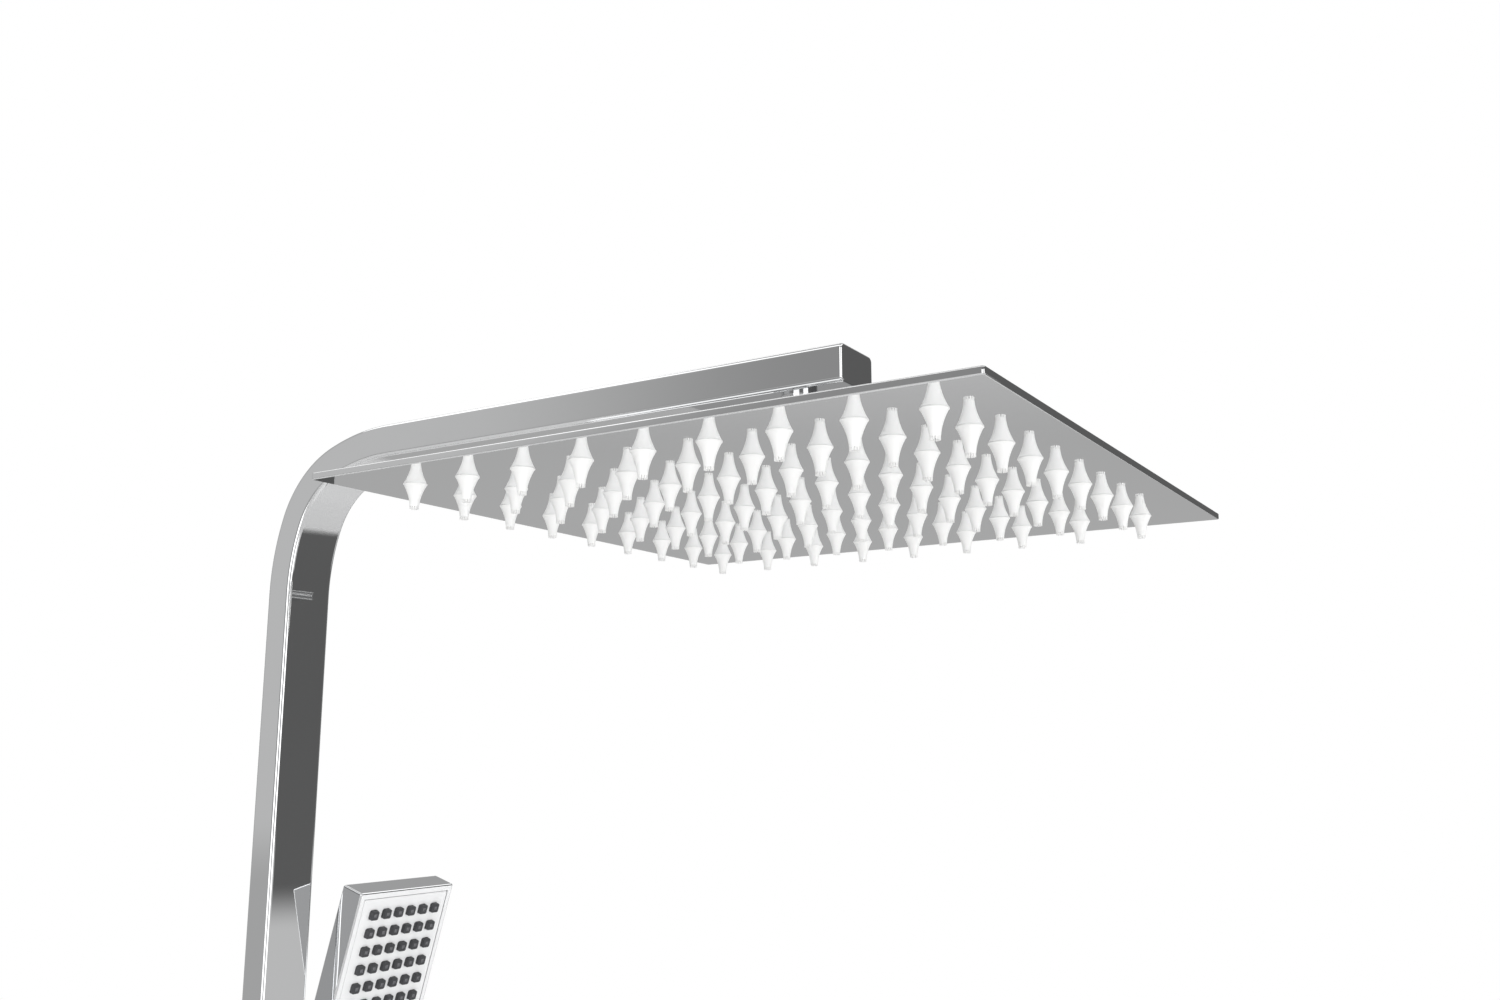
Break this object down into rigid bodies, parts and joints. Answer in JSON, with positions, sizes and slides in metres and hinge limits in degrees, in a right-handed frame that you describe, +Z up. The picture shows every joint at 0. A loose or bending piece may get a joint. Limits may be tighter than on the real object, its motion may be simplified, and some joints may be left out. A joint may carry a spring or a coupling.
{
  "type": "rainfall shower column",
  "caption": "Wall-hung shower column: bar valve, bent flat riser, thin square rain head on a ball joint, and a flat hand shower in a sliding, tilting side holder.",
  "frame": {"origin": "on the wall plane, midway between the hot and the cold supply centres", "axes": "+Z up, +Y into the wall, so the room and the rain head lie at -Y; +X is to the right for a person who faces the wall"},
  "size_m": [0.332, 0.4755, 1.1695],
  "materials": {
    "polished_steel": "mirror polished",
    "chrome": "bright plated",
    "brass": "machined",
    "silicone_white": "soft matt",
    "silicone_grey": "soft satin",
    "spray_plate": "satin",
    "liner": "matt",
    "inner_plastic": "moulded",
    "seal_rubber": "matt",
    "ceramic_disc": "lapped",
    "fixing_steel": "turned"
  },
  "bodies": {
    "column": {"riser_tube": "polished_steel", "arm_end_cap": "polished_steel", "arm_neck": "polished_steel", "flow_regulator": "inner_plastic", "riser_foot": "brass", "riser_o_ring": "seal_rubber", "riser_collar": "chrome", "riser_set_screw": "fixing_steel", "riser_stud": "fixing_steel", "bracket_post": "chrome", "bracket_base": "fixing_steel", "bracket_cover": "chrome", "bracket_set_screw": "fixing_steel", "swivel_nut": "polished_steel", "valve_body": "chrome", "supply_unions": "chrome", "union_nuts": "chrome", "union_washers": "seal_rubber", "supply_check_valves": "inner_plastic", "wall_flanges": "chrome", "thermostat_cartridge": "inner_plastic", "thermostat_nut": "brass", "temperature_stop": "liner", "diverter_cartridge": "inner_plastic", "diverter_nut": "brass", "diverter_fixed_disc": "ceramic_disc", "hose_outlet": "chrome", "hose_check_valve": "inner_plastic"},
    "swivel_ring": {"ball_seat": "inner_plastic"},
    "head_ball": {"swivel_ball": "chrome"},
    "rain_head": {"head_hub": "polished_steel", "head_top_sheet": "polished_steel", "head_spray_sheet": "polished_steel", "rain_nozzles": "silicone_white"},
    "holder": {"holder_slider": "chrome", "holder_liner": "liner", "clamp_pad": "brass", "pivot_ring": "liner"},
    "clamp": {"clamp_knob": "chrome"},
    "cradle": {"holder_cradle": "chrome", "cradle_liner": "liner", "pivot_screw": "fixing_steel"},
    "handset": {"handset_body": "chrome", "handset_spray_plate": "spray_plate", "handset_nozzle_mat": "silicone_grey", "handset_inlet": "brass", "handset_regulator": "inner_plastic"},
    "temperature_control": {"temperature_knob": "chrome", "temperature_spindle": "brass", "temperature_screw": "fixing_steel", "temperature_cap": "chrome", "stop_spring": "fixing_steel"},
    "safety_button": {"stop_button": "fixing_steel"},
    "flow_control": {"flow_knob": "chrome", "diverter_spindle": "brass", "diverter_moving_disc": "ceramic_disc", "flow_screw": "fixing_steel", "flow_cap": "chrome"}
  },
  "joints": [
    {"name": "head_swivel", "type": "hinge", "parent": "column", "child": "swivel_ring", "pos_m": [0, -0.3365, 1.099], "axis": [0, 0, 1], "continuous": true},
    {"name": "head_tilt", "type": "hinge", "parent": "swivel_ring", "child": "head_ball", "pos_m": [0, -0.3365, 1.099], "axis": [1, 0, 0], "range_deg": [-15, 15]},
    {"name": "head_turn", "type": "hinge", "parent": "head_ball", "child": "rain_head", "pos_m": [0, -0.3365, 1.099], "axis": [0, 0, 1], "continuous": true},
    {"name": "holder_height", "type": "slide", "parent": "column", "child": "holder", "axis": [0, 0, 1], "range_m": [-0.2, 0.15]},
    {"name": "clamp_turn", "type": "hinge", "parent": "holder", "child": "clamp", "pos_m": [-0.03, -0.0575, 0.79], "axis": [1, 0, 0], "range_deg": [0, 180]},
    {"name": "cradle_tilt", "type": "hinge", "parent": "holder", "child": "cradle", "pos_m": [0.0504, -0.0426, 0.79], "axis": [1, 0, 0], "range_deg": [-20, 10]},
    {"name": "handset_lift", "type": "slide", "parent": "cradle", "child": "handset", "axis": [0, -0.2857, 0.9583], "range_m": [0, 0.07]},
    {"name": "temperature_turn", "type": "hinge", "parent": "column", "child": "temperature_control", "pos_m": [-0.14, -0.0575, 0], "axis": [1, 0, 0], "range_deg": [-60, 120]},
    {"name": "stop_press", "type": "slide", "parent": "temperature_control", "child": "safety_button", "axis": [0, 0, -1], "range_m": [0, 0.002], "stiffness_N_per_m": 800, "springref_m": -0.001, "deforming": ["stop_spring"]},
    {"name": "flow_turn", "type": "hinge", "parent": "column", "child": "flow_control", "pos_m": [0.14, -0.0575, 0], "axis": [1, 0, 0], "range_deg": [-90, 90]}
  ]
}
